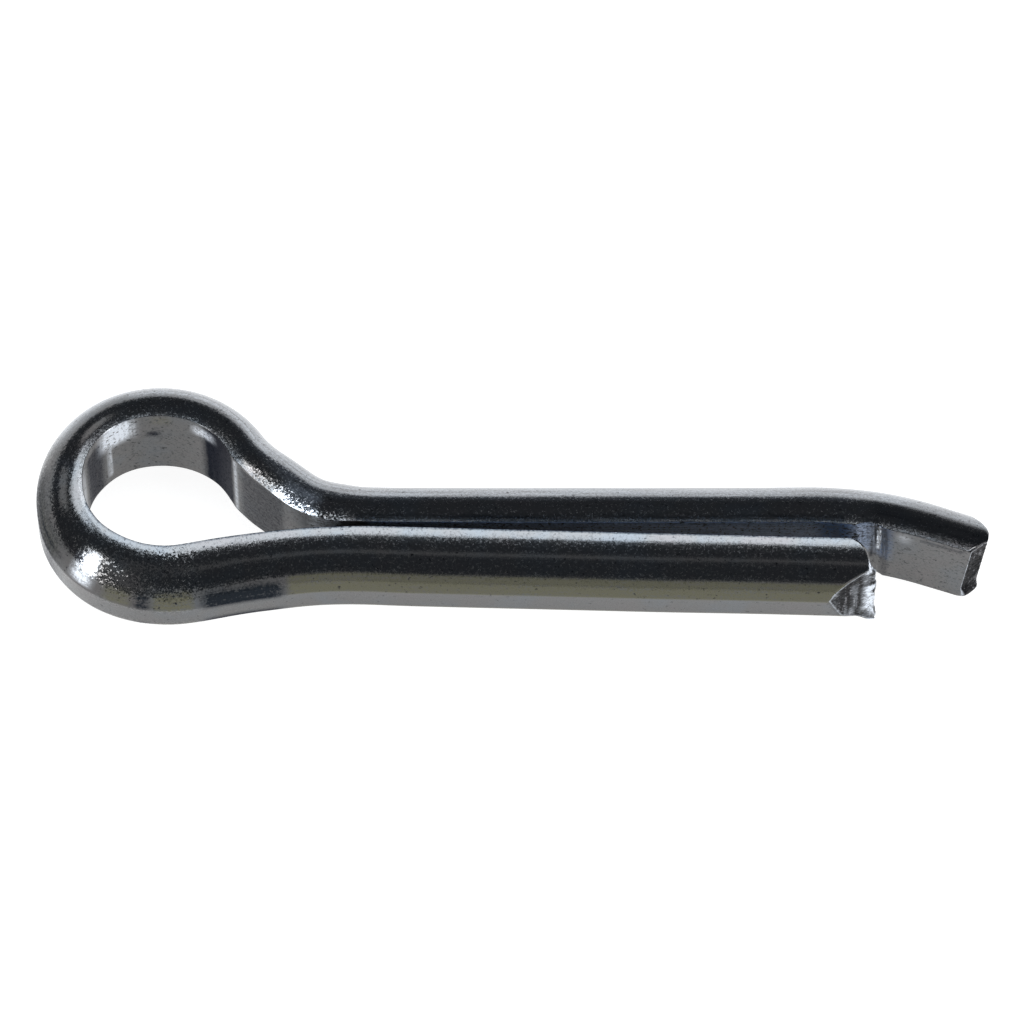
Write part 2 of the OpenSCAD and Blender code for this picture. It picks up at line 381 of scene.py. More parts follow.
@dataclass(frozen=True)
class ProngEnd:
    """The shorn end of the prong: a wedge, with its torn face on the flat's side of the ridge."""

    lean: float = 4.3
    back: float = 0.065
    torn_slope: float = 0.72
    shorn_drop: float = 0.255
    shorn_power: float = 2.3
    ridge_depth: float = 1.1
    ridge_blend: float = 0.05
    torn_edge: Fade = (0.1, -0.05)
    grains: Tuple[Lumps, ...] = (Lumps(0.05, 0.5, 3.0), Lumps(0.05, 0.16, 9.0))
    grain_deeper: Fade = (0.0, 0.2)
    burr: float = 0.38
    burr_at: Fades = ((-2.3, -3.3), (-0.02, 0.1), (1.9, 0.6))
    nub: float = 0.12
    nub_at: Point2 = (2.0, 2.7)
    nub_spread: float = 0.05
    # rim_bright and rim set a painted highlight along the end's rim.
    rim_bright: float = 0.7
    rim: Fade = (0.945, 0.965)

    def reach(self, depth: float, z: float) -> float:
        """How far the end stands beyond the end of the flat, at a depth behind it and a height z."""
        grain = sum(lumps.at(depth, z) for lumps in self.grains) * smooth(*self.grain_deeper, depth)
        return soft_min(self._torn_face(depth, z) + grain, self._shorn_face(depth, z), self.ridge_blend)

    def _slant(self, depth: float, z: float) -> float:
        """The plane of the torn face, which leans across the wire."""
        return depth * self.torn_slope + z * math.tan(math.radians(self.lean)) - self.back

    def _torn_face(self, depth: float, z: float) -> float:
        """The torn face, with a burr pushed out at its low corner."""
        return self._slant(depth, z) + self.burr * faded(self.burr_at, z, depth, depth)

    def _shorn_face(self, depth: float, z: float) -> float:
        """The shorn face behind the ridge, with a nub at its top."""
        off = (depth - self.nub_at[0]) ** 2 + (z - self.nub_at[1]) ** 2
        behind = depth - self.ridge_depth
        drop = self.shorn_drop * max(0.0, behind) ** self.shorn_power + min(0.0, behind)
        return self._slant(self.ridge_depth, z) - drop + self.nub * math.exp(-off / self.nub_spread)

    def torn(self, depth: float, z: float) -> float:
        """1 where the metal is torn, 0 where it is smoothly shorn."""
        return smooth(*self.torn_edge, self._torn_face(depth, z) - self._shorn_face(depth, z))

    def bright(self, _depth: float, _z: float, share: float) -> float:
        """Painted highlight on the torn metal: only along its rim, where the share is 1."""
        return self.rim_bright * smooth(*self.rim, share)


@dataclass(frozen=True)
class ShearedTip:
    """The short leg's end: the flat rolls over, and a sheared ramp meets it in a torn lip."""

    roll_r: float = 1.53
    roll_depth: float = 1.5
    roll_back: float = 0.45
    lip: float = 0.44
    lip_across: Fade = (3.35, 2.0)
    low_lip: float = 0.12
    low_lip_across: Fade = (-1.8, -3.2)
    lip_deeper: Fade = (1.25, 1.75)
    lip_skin: Fades = ((-0.04, 0.06), (1.2, 1.4))
    ramp_angle: float = 24.3
    ramp_lean: float = 9.6
    ramp_depth: float = 2.236
    ramp_blend: float = 0.08
    ripple: Lumps = Lumps(0.06, 0.45, 1.0)
    grain: Lumps = Lumps(0.03, 0.18, 1.0)
    ripple_deeper: Fade = (0.6, 1.6)
    lumps: Lumps = Lumps(0.13, 0.8, 7.0)
    lumps_up_ramp: Fade = (-1.0, -0.2)
    torn_deeper: Fade = (1.3, 1.45)
    torn_edge: Fade = (0.05, -0.05)
    sagged: float = 0.4
    sag_at: Fades = ((-1.3, -0.2), (-1.2, -2.5), (0.9, 1.9))
    # The fields from here on set a painted highlight on the torn lip, the scores and the rim.
    lip_bright: float = 0.6
    lip_mottle: Lumps = Lumps(1.6, 0.7, 4.0)
    bright_up_ramp: Fade = (-1.0, -0.45)
    scores_bright: float = 0.16
    scores: Lumps = Lumps(1.0, 0.3, 2.0)
    scores_stretch: float = 0.1
    scores_edge: Fade = (-0.1, 0.3)
    rim_bright: float = 0.4
    rim: Fade = (0.95, 0.97)

    def reach(self, depth: float, z: float) -> float:
        """How far the end stands beyond the end of the short leg's route, mostly a negative distance."""
        ramp = self._ramp(depth, z)
        ripple = self.ripple.at(ramp, 0.0) + self.grain.at(depth, z)
        lumps = self.lumps.at(ramp, z) * smooth(*self.lumps_up_ramp, ramp)
        return soft_min(self._roll(depth, z) + lumps * self.torn(depth, z),
                        ramp + (ripple + lumps) * smooth(*self.ripple_deeper, depth), self.ramp_blend)

    def _roll(self, depth: float, z: float) -> float:
        """The flat, rolled over at the tip, and the lip torn out beyond it."""
        inside = self.roll_r ** 2 - max(0.0, self.roll_depth - depth) ** 2
        lip = self.lip * smooth(*self.lip_across, z) + self.low_lip * smooth(*self.low_lip_across, z)
        rolled = math.sqrt(max(0.0, inside)) - self.roll_r - self.roll_back
        return rolled + lip * smooth(*self.lip_deeper, depth)

    def _ramp(self, depth: float, z: float) -> float:
        """The shear face, which leans so that it starts deeper below."""
        cut_from = self.ramp_depth - math.tan(math.radians(self.ramp_lean)) * z
        return (cut_from - depth) / math.tan(math.radians(self.ramp_angle))

    def torn(self, depth: float, z: float) -> float:
        """1 where the metal is torn, 0 where it still has its plated skin."""
        on_ramp = smooth(*self.torn_edge, self._ramp(depth, z) - self._roll(depth, z))
        return max(smooth(*self.torn_deeper, depth), on_ramp)

    def sag(self, beyond: float, depth: float, z: float) -> float:
        """How far the round side is pushed out at the tip's low corner."""
        return self.sagged * faded(self.sag_at, beyond, z, depth)

    def torn_lip(self, beyond: float, depth: float) -> float:
        """1 on the outside of the torn lip, for a point this far beyond the end of the route."""
        return faded(self.lip_skin, beyond + self.roll_back, depth)

    def bright(self, depth: float, z: float, share: float) -> float:
        """Painted highlight on the torn metal: on the lip, along the scores on the ramp and on the rim."""
        ramp = self._ramp(depth, z)
        lip = smooth(*self.bright_up_ramp, ramp) * max(0.0, self.lip_bright + self.lip_mottle.at(ramp, z))
        scored = self.scores_bright * smooth(*self.scores_edge, self.scores.at(ramp, self.scores_stretch * z))
        return min(1.0, max(lip, scored, self.rim_bright * smooth(*self.rim, share)))


@dataclass(frozen=True)
class PinchMark:
    """The groove that the shears pinched across the long leg's flat, with ridges on its floor."""

    at: float = 6.345
    worked: Point2 = (4.845, 7.645)
    groove_r: float = 1.9
    depth: float = 0.25
    rim: Fade = (-0.12, 0.1)
    bow: float = 0.21
    bow_half: float = 3.9
    ridge_pitch: float = 0.25
    ridge_height: float = 0.05
    ridge_power: int = 3
    ridges_at: Fades = ((-0.95, -0.7), (0.1, -0.1), (-3.4, -2.6))

    def sunk(self, along: float, z: float) -> float:
        """How deep the flat is sunk at a place along the route and across the wire."""
        off = along - self.at + self.bow * (1.0 - (z / self.bow_half) ** 2)
        groove = self.depth - off * off / (2.0 * self.groove_r)
        if groove < self.rim[0]:
            return 0.0
        wave = max(0.0, math.cos(off / self.ridge_pitch * 2.0 * math.pi)) ** self.ridge_power
        ridge = self.ridge_height * wave * faded(self.ridges_at, off, off, z)
        return max(0.0, groove) * smooth(*self.rim, groove) - ridge


# ---- The wire ----


@dataclass(frozen=True)
class WireSection:
    """The half-round section, followed from the middle of the flat to the middle of the crown."""

    radius: float = 3.5
    crown: float = 3.317
    crown_half: float = 1.08
    spread_w: float = 3.894
    edge: float = 0.03
    crease_turn: float = 0.03
    crease_in: float = 0.06
    flat_steps: int = 18
    round_steps: int = 32
    crease_steps: int = 3
    crown_steps: int = 7

    @property
    def half(self) -> int:
        """The number of steps from the flat's middle to the crown's middle."""
        return self.flat_steps + 1 + self.round_steps + self.crease_steps + self.crown_steps

    def point(self, step: int, width: float, crown: float) -> Point2:
        """A point of the section.

        Args:
            step: the step, from 0 at the flat's middle; past the crown it comes back below.
            width: half the width of the flat.
            crown: the depth of the crown behind the flat.

        Returns:
            The depth behind the flat and the distance from the wire's mid-plane.
        """
        if step > self.half:
            depth, z = self.point(2 * self.half - step, width, crown)
            return depth, -z
        if step <= self.flat_steps:
            return 0.0, (width - self.edge) * step / self.flat_steps
        step -= self.flat_steps + 1
        if not step:
            return self.edge, width
        bulge = crown / math.sqrt(1.0 - (self.crown_half / width) ** 2)
        first, last = math.asin(self.edge / bulge), math.asin(crown / bulge) - self.crease_turn
        if step <= self.round_steps:
            angle = first + (last - first) * step / self.round_steps
            return bulge * math.sin(angle), width * math.cos(angle)
        step -= self.round_steps
        inner = self.crown_half - self.crease_in
        if step <= self.crease_steps:
            t = step / self.crease_steps
            start = (bulge * math.sin(last), width * math.cos(last))
            curve = zip(start, (crown, self.crown_half), (crown, inner))
            depth, z = ((1.0 - t) ** 2 * a + 2.0 * t * (1.0 - t) * b + t * t * c for a, b, c in curve)
            return depth, z
        step -= self.crease_steps
        return crown, inner * (1.0 - step / self.crown_steps)


@dataclass(frozen=True)
class Ring:
    """One ring of the wire before its ends are cut."""

    along: float
    width: float
    crown: float
    gap: float


@dataclass(frozen=True)
class Unevenness:
    """How folding left the wire a little uneven.

    Each row is a distance along the wire, how far the flat stands forward there, and how far
    the round side stands out, all in millimetres.
    """

    rows: Tuple[Tuple[float, float, float], ...] = (
        (0.0, 0.19, 0.0), (5.0, 0.18, 0.05), (9.5, 0.15, 0.02), (14.0, 0.15, -0.02), (26.0, 0.15, -0.02),
        (36.0, 0.12, -0.02), (40.0, 0.06, 0.05), (43.0, 0.10, -0.13), (46.0, 0.18, -0.04), (48.2, 0.02, 0.0),
        (50.0, -0.10, 0.03), (55.0, 0.05, -0.04), (58.0, 0.17, -0.06), (61.0, 0.27, -0.11),
        (62.6, 0.21, -0.03), (64.0, 0.16, -0.03), (67.0, 0.15, -0.05), (70.0, 0.10, 0.10), (74.0, 0.06, 0.07),
        (78.0, 0.08, 0.0), (84.0, 0.10, 0.08), (98.0, 0.10, 0.06), (107.0, 0.10, 0.0))

    def at(self, along: float) -> Point2:
        """How far the flat and the round side stand out at a distance along the wire."""
        for low, high in zip(self.rows, self.rows[1:]):
            if along <= high[0]:
                t = smooth(low[0], high[0], along)
                return low[1] + (high[1] - low[1]) * t, low[2] + (high[2] - low[2]) * t
        return self.rows[-1][1:]


@dataclass(frozen=True)
class Patch:
    """A soft-edged patch of one tone on one face, given by its reach along and across the wire.

    A mirrored patch lies at the same heights above and below the wire's mid-plane.
    """

    tone: Tone
    face: Face
    start: float
    end: float
    low: float
    high: float
    fade: float = 0.3
    strength: float = 1.0
    mirrored: bool = False

    def at(self, along: float, z: float) -> float:
        """How much of the tone there is at a place on the patch's own face."""
        amount = self.strength
        height = abs(z) if self.mirrored else z
        for value, low, high in ((along, self.start, self.end), (height, self.low, self.high)):
            if not low - self.fade < value < high + self.fade:
                return 0.0
            amount *= smooth(low - self.fade, low + self.fade, value)
            amount *= smooth(high + self.fade, high - self.fade, value)
        return amount


# Each row is a patch's start and end along the wire, its low and high edges across it, its fade,
# its strength and whether it is mirrored.
# The olive and blue reflection, shade and highlight patches are painted light: they stand for reflections,
# shade and highlights seen from this camera.
PATCHES: Dict[Tuple[Tone, Face], Tuple[Tuple[object, ...], ...]] = {
    (Tone.DULL, Face.FLAT): ((-9.0, 200.0, -9.0, 9.0, 0.1), (6.2, 8.8, -0.5, 3.9, 0.6, 2.2)),
    (Tone.DULL, Face.ROUND): ((-2.0, 4.6, 2.4, 3.15, 0.3, 0.45),),
    (Tone.BLUE, Face.FLAT): (
        (5.0, 6.0, -1.0, 3.9, 0.4, 0.35), (6.2, 8.6, -0.5, 3.9, 0.6, 0.6), (8.6, 38.0, 0.0, 3.9, 0.5, 1.0)),
    (Tone.SHINE, Face.FLAT): (
        (3.9, 4.5, 2.2, 3.3, 0.5, 0.3), (5.68, 5.9, 0.0, 3.4, 0.08, 1.0), (6.25, 7.6, -0.5, 3.6, 0.5, 0.3),
        (9.6, 38.0, 1.0, 3.4, 0.6, 0.36), (39.0, 42.6, -3.9, 3.5, 0.6, 0.1),
        (39.9, 41.7, -3.9, 3.9, 0.5, 1.0), (47.55, 47.85, -3.9, 3.6, 0.15, 0.5),
        (50.0, 51.4, 2.2, 3.3, 0.4, 0.85), (55.5, 57.2, 1.4, 3.9, 0.9, 1.6),
        (56.78, 56.96, -3.0, 2.0, 0.12, 0.8), (59.5, 61.0, -3.9, 3.6, 0.3, 0.35)),
    (Tone.SHINE, Face.ROUND): (
        (-9.0, 45.0, 1.0, 3.0, 0.2, 0.28, True), (41.6, 44.2, 3.25, 9.0, 0.5, 0.85),
        (43.5, 55.0, 1.0, 3.3, 0.3, 0.28, True), (54.0, 58.5, 1.1, 2.9, 0.8, 0.32, True),
        (64.1, 64.8, 1.4, 3.2, 0.3)),
    (Tone.STAIN, Face.FLAT): (
        (0.4, 3.0, 3.05, 3.25, 0.12, 0.8), (5.1, 5.6, -3.5, 3.6, 0.15, 0.35),
        (5.94, 6.06, 1.0, 3.5, 0.08, 0.9), (6.1, 6.3, -1.5, 1.0, 0.1, 0.7),
        (43.6, 47.2, -3.9, 3.6, 0.4, 0.55), (48.1, 50.6, -3.9, 3.9, 0.5, 1.5),
        (53.6, 54.3, 0.9, 1.5, 0.3), (57.4, 59.1, -3.9, 3.0, 0.4, 0.8)),
    (Tone.STAIN, Face.ROUND): (
        (-2.0, 6.5, 3.2, 9.0, 0.6, 0.45), (8.0, 39.0, 3.46, 9.0, 0.05, 0.85),
        (59.8, 63.2, -3.9, 2.6, 0.6, 0.7), (66.8, 67.4, 1.0, 2.3, 0.2, 0.8, True),
        (70.0, 75.2, 1.0, 1.9, 0.6, 1.6, True)),
    (Tone.OLIVE_REFLECTION, Face.FLAT): ((52.9, 54.0, 2.6, 3.7, 0.4, 0.6),),
    (Tone.OLIVE_REFLECTION, Face.ROUND): (
        (60.0, 63.0, 1.0, 2.3, 0.4, 0.7, True), (65.5, 66.6, 1.1, 2.3, 0.25, 0.7, True),
        (67.6, 69.3, 1.0, 2.3, 0.2, 1.0, True), (75.8, 120.0, 1.0, 2.3, 0.1, 1.0, True)),
    (Tone.PEEL, Face.FLAT): ((3.9, 4.5, 2.2, 3.3, 0.5, 0.9), (6.0, 7.6, -0.5, 3.9, 0.4, 1.0)),
    (Tone.PEEL, Face.ROUND): (
        (39.5, 46.5, 3.2, 9.0, 0.5, 0.75, True), (50.0, 76.0, 0.0, 3.6, 1.0, 0.25, True),
        (58.0, 63.0, 0.8, 3.5, 0.8, 0.6, True), (64.9, 70.0, 0.8, 3.5, 0.7, 1.0, True),
        (69.0, 76.0, 1.0, 2.2, 0.7, 0.6, True)),
}


@dataclass(frozen=True)
class PlateTones:
    """Where the plate is dull or roughened by stretching, and where shade, highlights and olive and blue
    reflections are painted on it.
    """

    patches: Tuple[Patch, ...] = tuple(Patch(*key, *row) for key, rows in PATCHES.items() for row in rows)

    def at(self, face: Face, along: float, z: float) -> Dict[Tone, float]:
        """How much of each tone there is at a place, 1 for its full effect; more than 1 frays less."""
        tones = {tone: 0.0 for tone in Tone}
        for patch in self.patches:
            if patch.face is face:
                tones[patch.tone] = max(tones[patch.tone], patch.at(along, z))
        return tones


@dataclass(frozen=True)
class RingSteps:
    """How far apart the rings of the wire are in its different stretches."""

    leg: float = 0.5
    bend: float = 0.25
    neck: float = 0.2
    eye: float = 0.17
    cut: float = 0.1
    fine: float = 0.06
    least: float = 0.15
    neck_lead: float = 1.0
    crease_zone: float = 0.6


@dataclass(frozen=True)
class Spot:
    """Where one point of the plain tube belongs on the wire.

    The share is how far out the point lies from the middle of a cut end, 1 on the wire's skin.
    """

    ring: Ring
    step: int
    share: float
    along: float
    depth: float
    z: float


@dataclass
class CotterPin:
    """The whole pin: one wire drawn, folded round its eye, pinched and shorn."""

    path: PinPath = PinPath()
    section: WireSection = WireSection()
    steps: RingSteps = RingSteps()
    prong_end: ProngEnd = ProngEnd()
    short_tip: ShearedTip = ShearedTip()
    pinch: PinchMark = PinchMark()
    tones: PlateTones = PlateTones()
    uneven: Unevenness = Unevenness()
    cap_rings: int = 36
    cap_depth: float = 1.5
    cap_edge: float = 0.99
    cap_tuck: float = 0.985
    prong_zone: float = 2.4
    tip_zone: float = 4.6
    crease_round: float = 0.22
    crease_samples: int = 9
    neck_spread: Fade = (-0.6, 1.2)
    near_spread: Fade = (4.2, -1.5)
    pinch_spread: Fade = (2.0, -0.3)
    pinch_widened: float = 0.4
    pinch_fade: Fade = (0.5, 0.0)
    rim_stained_from: float = 62.0
    torn_cut: float = 1.4
    torn_peel: float = 0.6
    smooth_below: float = 40.0

    def __post_init__(self) -> None:
        """Works out the two routes and the rings along them."""
        self.flat = self.path.flat_route()
        self.back = self.path.back_route(self.flat)
        self.crease_along = self._find_crease()
        self.rings = [self._ring(along) for along in self._stations()]

    def _find_crease(self) -> float:
        """The distance along the back route that lies behind the crease of the flat."""
        corner = self.flat.runs[FlatRun.FAR].start
        along, rounds = self.back.joint(BackRun.CREASE), 40
        for _ in range(rounds):
            along += self.back.at(along).along((corner.x, corner.y))
        return along

    def _stations(self) -> List[float]:
        """The distances of the rings, closer where the wire bends or is worked."""
        total, joint, steps, nudge = self.back.length, self.back.joint, self.steps, 1e-6
        zones = [(0.0, self.prong_zone, steps.cut),
                 (*self.pinch.worked, steps.fine),
                 (joint(BackRun.BEND), joint(BackRun.LEG), steps.bend),
                 (joint(BackRun.NECK) - steps.neck_lead, joint(BackRun.CREASE), steps.neck),
                 (self.crease_along - steps.crease_zone, self.crease_along + steps.crease_zone, steps.fine),
                 (joint(BackRun.CREASE), joint(BackRun.NEAR), steps.eye),
                 (joint(BackRun.NEAR), joint(BackRun.BOW), steps.bend),
                 (total - self.tip_zone, total, steps.cut)]
        stations = [0.0]
        while stations[-1] < total - steps.least:
            here = stations[-1] + nudge
            step = min([size for low, high, size in zones if low <= here < high], default=steps.leg)
            stations.append(stations[-1] + step)
        stations[-1] = total
        return stations

    def _width(self, along: float) -> float:
        """Half the width of the flat, which bending and pinching have spread."""
        joint, (before, after) = self.back.joint, self.neck_spread
        neck = smooth(joint(BackRun.NECK_RUN) + before, joint(BackRun.CREASE) + after, along)
        near = smooth(*self.near_spread, along - joint(BackRun.NEAR))
        spread = max(self.pinch_widened * smooth(*self.pinch_spread, along - self.pinch.at), neck * near)
        return self.section.radius + (self.section.spread_w - self.section.radius) * spread

    def _gap(self, along: float) -> float:
        """How far the flat stands from the back route, with the crease slightly rounded."""
        if abs(along - self.crease_along) > self.crease_round:
            return self.flat.gap_from(self.back.at(along))
        half = self.crease_samples // 2
        near = [along + self.crease_round * (i / half - 1.0) for i in range(self.crease_samples)]
        return sum(self.flat.gap_from(self.back.at(place)) for place in near) / len(near)

    def _ring(self, along: float) -> Ring:
        """Measures the ring at one station."""
        forward, out = self.uneven.at(along)
        gap = self._gap(along) + forward
        return Ring(along, self._width(along), self.section.crown + gap + out, gap)

    def _place(self, spot: Spot) -> Vector:
        """Turns a spot on the wire into a point of the row frame, in metres."""
        x, y = self.back.at(spot.along).beside(spot.ring.gap - spot.depth)
        return Vector((x, y, spot.z)) * MM

    def _tube(self) -> Thing:
        """Draws a plain closed tube with one ring of points for each station."""
        last = len(self.rings) - 1
        bpy.ops.object.select_all(action="DESELECT")
        bpy.ops.mesh.primitive_circle_add(vertices=2 * self.section.half, radius=1.0,
                                          rotation=(0.0, math.pi / 2.0, 0.0))
        tube = bpy.context.object
        tube.name = tube.data.name = "wire"
        bpy.ops.object.transform_apply(location=True, rotation=True, scale=True)
        draw = tube.modifiers.new("draw", "SCREW")
        draw.axis, draw.angle, draw.screw_offset = "X", 0.0, float(last)
        draw.steps = draw.render_steps = last
        bpy.ops.object.modifier_apply(modifier="draw")
        for end in (0.0, float(last)):
            self._cap(tube, end)
        return tube

    def _cap(self, tube: Thing, end: float) -> None:
        """Closes one end of the tube with rings that shrink to its middle."""
        tolerance = 0.1
        for item in tube.data.polygons[:] + tube.data.edges[:] + tube.data.vertices[:]:
            item.select = False
        for point in tube.data.vertices:
            point.select = abs(point.co.x - end) < tolerance
        bpy.ops.object.mode_set(mode="EDIT")
        bpy.ops.mesh.select_mode(type="VERT")
        bpy.ops.mesh.edge_face_add()
        bpy.ops.mesh.select_mode(type="FACE")
        for _ in range(self.cap_rings - 1):
            bpy.ops.mesh.inset(thickness=1.0 / self.cap_rings, depth=0.0)
        bpy.ops.mesh.poke()
        bpy.ops.object.mode_set(mode="OBJECT")

    def _spot(self, point: Vector) -> Spot:
        """Finds where a point of the plain tube belongs on the folded wire.

        Args:
            point: the point, with the number of its ring for its x.

        Returns:
            Its spot on the wire, after the ends are cut and the flat is pinched.
        """
        count = 2 * self.section.half
        ring = self.rings[round(point.x)]
        step = round(math.atan2(point.z, point.y) / (2.0 * math.pi) * count) % count
        depth, z = self.section.point(step, ring.width, ring.crown)
        share = 1.0
        if round(point.x) in (0, len(self.rings) - 1):
            share = min(1.0, math.hypot(point.y, point.z))
            tuck = self.cap_tuck if share > self.cap_edge else share
            depth, z = self.cap_depth + (depth - self.cap_depth) * tuck, z * tuck
        along = ring.along
        if along < self.prong_zone:
            rim = -self.prong_end.reach(depth, z)
            along = self.prong_zone - (self.prong_zone - rim) * (1.0 - along / self.prong_zone)
        zone = self.back.length - self.tip_zone
        if along > zone:
            rim = self.back.length + self.short_tip.reach(depth, z)
            along = zone + (rim - zone) * (ring.along - zone) / self.tip_zone
            depth += self.short_tip.sag(along - self.back.length, depth, z)
        near_flat = smooth(*self.pinch_fade, depth)
        if near_flat > 0.0:
            depth += near_flat * self.pinch.sunk(along, z)
        return Spot(ring, step, share, along, depth, z)

    def _tones_at(self, spot: Spot) -> Dict[Tone, float]:
        """How much of each tone there is at a spot, its cut ends and its rim included."""
        count, flat_steps = 2 * self.section.half, self.section.flat_steps
        face = Face.FLAT if min(spot.step, count - spot.step) <= flat_steps else Face.ROUND
        tones = self.tones.at(face, spot.ring.along, spot.z)
        # Painted shade: the flat's rim is darkened past this distance along the wire.
        if spot.step in (flat_steps, flat_steps + 1) and spot.ring.along > self.rim_stained_from:
            tones[Tone.STAIN] = 1.0
        if spot.share < self.cap_edge:
            end = self.prong_end if spot.ring.along < self.prong_zone else self.short_tip
            torn = end.torn(spot.depth, spot.z)
            tones[Tone.CUT], tones[Tone.PEEL] = self.torn_cut * torn, self.torn_peel * torn
            # Painted highlight on the torn metal of the cut ends.
            tones[Tone.SHINE] = torn * end.bright(spot.depth, spot.z, spot.share)
        elif spot.along > self.back.length - self.tip_zone:
            torn_lip = self.short_tip.torn_lip(spot.along - self.back.length, spot.depth)
            # Painted highlight on the outside of the short tip's torn lip, over the torn metal's colour.
            tones[Tone.CUT] = tones[Tone.SHINE] = torn_lip
        return tones

    def _lay(self, tube: Thing) -> None:
        """Moves each point of the tube to its place on the folded wire and gives it its tones."""
        for tone in Tone:
            tube.data.attributes.new(tone.value, "FLOAT", "POINT")
        layers = {tone: tube.data.attributes[tone.value].data for tone in Tone}
        spots = [self._spot(point.co) for point in tube.data.vertices]
        for index, (point, spot) in enumerate(zip(tube.data.vertices, spots)):
            point.co = self._place(spot)
            for tone, amount in self._tones_at(spot).items():
                layers[tone][index].value = amount
        self._unwrap(tube, spots)

    def _unwrap(self, tube: Thing, spots: Sequence[Spot]) -> None:
        """Gives the wire a UV map in millimetres whose first axis follows the marks.

        The marks run along the wire, but across it on the flat inside the eye.

        Args:
            tube: the wire.
            spots: the spot of each of its points.
        """
        count = 2 * self.section.half
        seam = count - self.section.flat_steps - 2
        ring = [self.section.point((seam + step) % count, self.section.radius, self.section.crown)
                for step in range(count + 1)]
        round_wire = [0.0]
        for here, there in zip(ring, ring[1:]):
            round_wire.append(round_wire[-1] + math.dist(here, there))
        layer = tube.data.uv_layers.new(name="wire")
        for face in tube.data.polygons:
            corners = [spots[tube.data.loops[i].vertex_index] for i in face.loop_indices]
            steps = [(spot.step - seam) % count for spot in corners]
            wraps = max(steps) - min(steps) > count / 2
            on_flat = max(abs(step - count + seam) % count for step in steps) <= self.section.flat_steps
            in_eye = on_flat and min(spot.along for spot in corners) >= self.crease_along
            for i, step, spot in zip(face.loop_indices, steps, corners):
                across = round_wire[count if wraps and step < count / 2 else step]
                layer.data[i].uv = (across, spot.along) if in_eye else (spot.along, across)

    def build(self) -> Thing:
        """Builds the wire and returns it, finished but not yet dressed."""
        tube = self._tube()
        self._lay(tube)
        bpy.ops.object.mode_set(mode="EDIT")
        bpy.ops.mesh.select_all(action="SELECT")
        bpy.ops.mesh.normals_make_consistent(inside=False)
        bpy.ops.object.mode_set(mode="OBJECT")
        bpy.ops.object.shade_smooth_by_angle(angle=math.radians(self.smooth_below))
        LOG.info("wire: %d rings, %d faces", len(self.rings), len(tube.data.polygons))
        return tube


# ---- Finishes ----


def linear(colour: str) -> Colour:
    """Turns an sRGB hex colour such as #C8CACC into linear values for a shader."""
    parts = [int(colour[i:i + 2], 16) / 255.0 for i in (1, 3, 5)]
    values = [p / 12.92 if p <= 0.04045 else ((p + 0.055) / 1.055) ** 2.4 for p in parts]
    return (*values, 1.0)


def add(tree: Tree, kind: str, settings: Optional[Dict[str, object]] = None, **inputs: object) -> Node:
    """Adds one node to a material.

    Args:
        tree: the material's nodes.
        kind: the node's type, without its ShaderNode prefix.
        settings: attributes of the node itself.
        inputs: a value or another node's socket for each input, named with _ for a space,
            or in0, in1 and so on for an input known by its place.

    Returns:
        The new node.
    """
    node = tree.nodes.new("ShaderNode" + kind)
    for name, value in (settings or {}).items():
        setattr(node, name, value)
    for name, value in inputs.items():
        numbered = name.startswith("in") and name[2:].isdigit()
        socket = node.inputs[int(name[2:]) if numbered else name.replace("_", " ")]
        if isinstance(value, Socket):
            tree.links.new(value, socket)
        else:
            socket.default_value = value
    return node


def maths(tree: Tree, operation: str, *values: object, kind: str = "Math", clamp: bool = False) -> Socket:
    """Works out one step of arithmetic on numbers or, for the kind VectorMath, on vectors."""
    settings = {"operation": operation, "use_clamp": True} if clamp else {"operation": operation}
    return add(tree, kind, settings, **{f"in{i}": value for i, value in enumerate(values)}).outputs[0]


def mix(tree: Tree, share: Socket, first: object, second: object) -> Socket:
    """Mixes two colours: the first where the share is 0, the second where it is 1."""
    return add(tree, "Mix", {"data_type": "RGBA"}, in0=share, in6=first, in7=second).outputs[2]


def ranged(tree: Tree, value: Socket, was: Fade, becomes: Fade = (0.0, 1.0)) -> Socket:
    """Stretches one range of values over another and holds it at the ends."""
    return add(tree, "MapRange", Value=value, From_Min=was[0], From_Max=was[1],
               To_Min=becomes[0], To_Max=becomes[1]).outputs[0]


def speckled(tree: Tree, place: Socket, size: float, detail: float, roughness: float = 0.5) -> Node:
    """Noise whose largest lumps have about this size, in the place's own unit."""
    return add(tree, "TexNoise", Vector=place, Scale=1.0 / size, Detail=detail, Roughness=roughness)


def new_material(name: str) -> Tuple[Material, Tree]:
    """Makes an empty material and returns it with its nodes."""
    material = bpy.data.materials.new(name)
    material.use_nodes = True
    material.node_tree.nodes.clear()
    return material, material.node_tree


